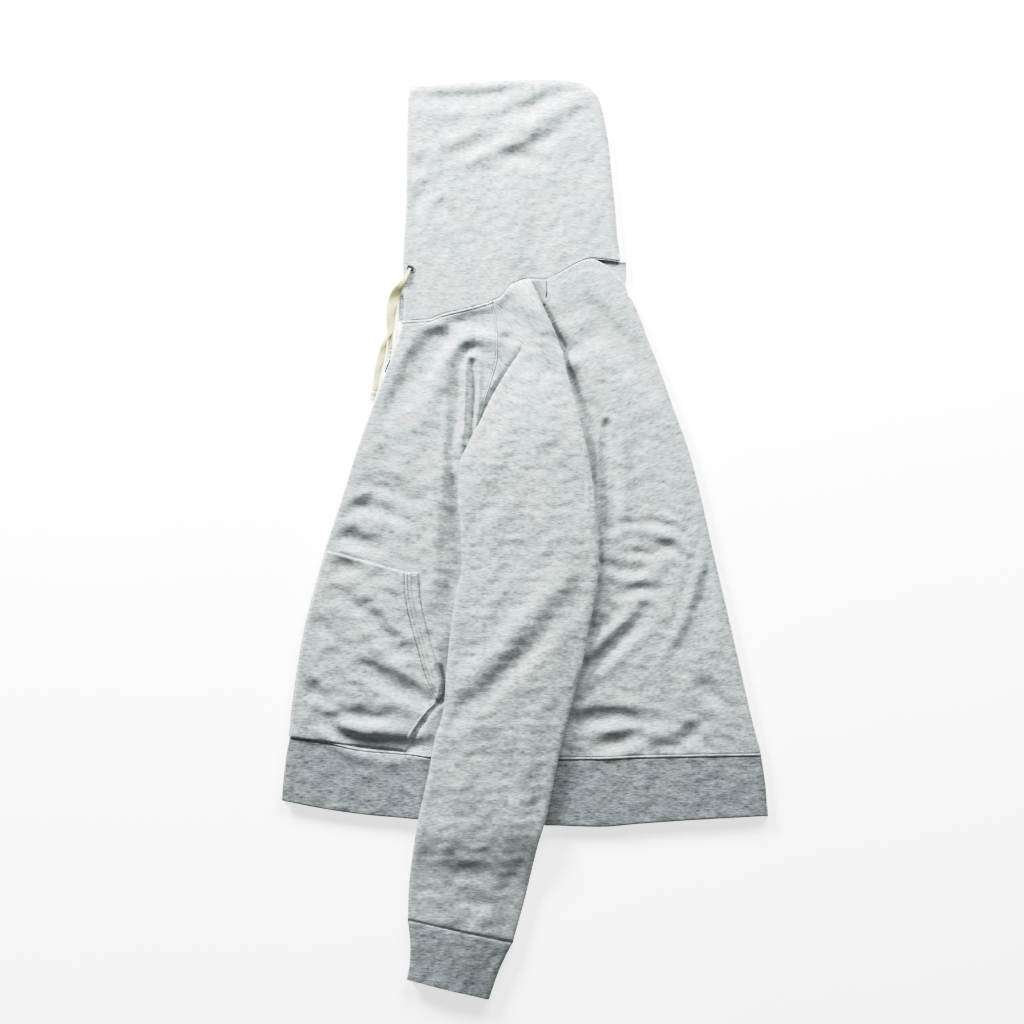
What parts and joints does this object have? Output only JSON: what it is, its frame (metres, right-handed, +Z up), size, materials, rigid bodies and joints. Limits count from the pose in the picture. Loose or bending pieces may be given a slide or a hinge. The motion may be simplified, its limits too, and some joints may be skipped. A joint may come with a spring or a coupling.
{
  "type": "zip hoodie folded flat",
  "caption": "A raglan-sleeve zip hoodie in heather fleece, folded in half along its length and laid flat with the hood up, the sleeve down the body and a small zip tab that swings",
  "frame": {"origin": "middle of the bounding box in plan, on the surface that the garment lies on", "axes": "+X from the zip edge to the centre-back fold, +Y from the hem to the hood, +Z up"},
  "size_m": [0.5584, 1.056, 0.0281],
  "materials": {
    "heather_fleece": "light heather grey cotton fleece, matt, with short light and dark streaks",
    "rib_knit": "darker heather grey fine rib knit, matt",
    "drawcord_cotton": "flat woven cream cotton cord, matt",
    "eyelet_thread": "grey embroidery thread with a slight sheen",
    "zip_tape": "grey woven polyester tape with its closed teeth, matt",
    "zip_metal": "blackened metal, satin"
  },
  "bodies": {
    "garment": {"front_left": "heather_fleece", "back": "heather_fleece", "hem_rib": "rib_knit", "sleeve_left": "heather_fleece", "sleeve_left_front_pleat": "heather_fleece", "sleeve_left_back_pleat": "heather_fleece", "cuff_left": "rib_knit", "hood_left": "heather_fleece", "pocket_left": "heather_fleece", "pocket_facing_left": "heather_fleece", "zip_tape": "zip_tape", "hidden_layers": "heather_fleece", "eyelet_left": "eyelet_thread", "drawcord_left": "drawcord_cotton", "drawcord_right": "drawcord_cotton", "drawcord_left_tip": "drawcord_cotton", "drawcord_right_tip": "drawcord_cotton", "zip_slider": "zip_metal"},
    "pull_tab": {"zip_pull": "zip_metal"}
  },
  "joints": [
    {"name": "pull_tab_swing", "type": "hinge", "parent": "garment", "child": "pull_tab", "pos_m": [-0.15467, 0.20509, 0.0054], "axis": [0, 0, -1], "range_deg": [0, 150]}
  ]
}
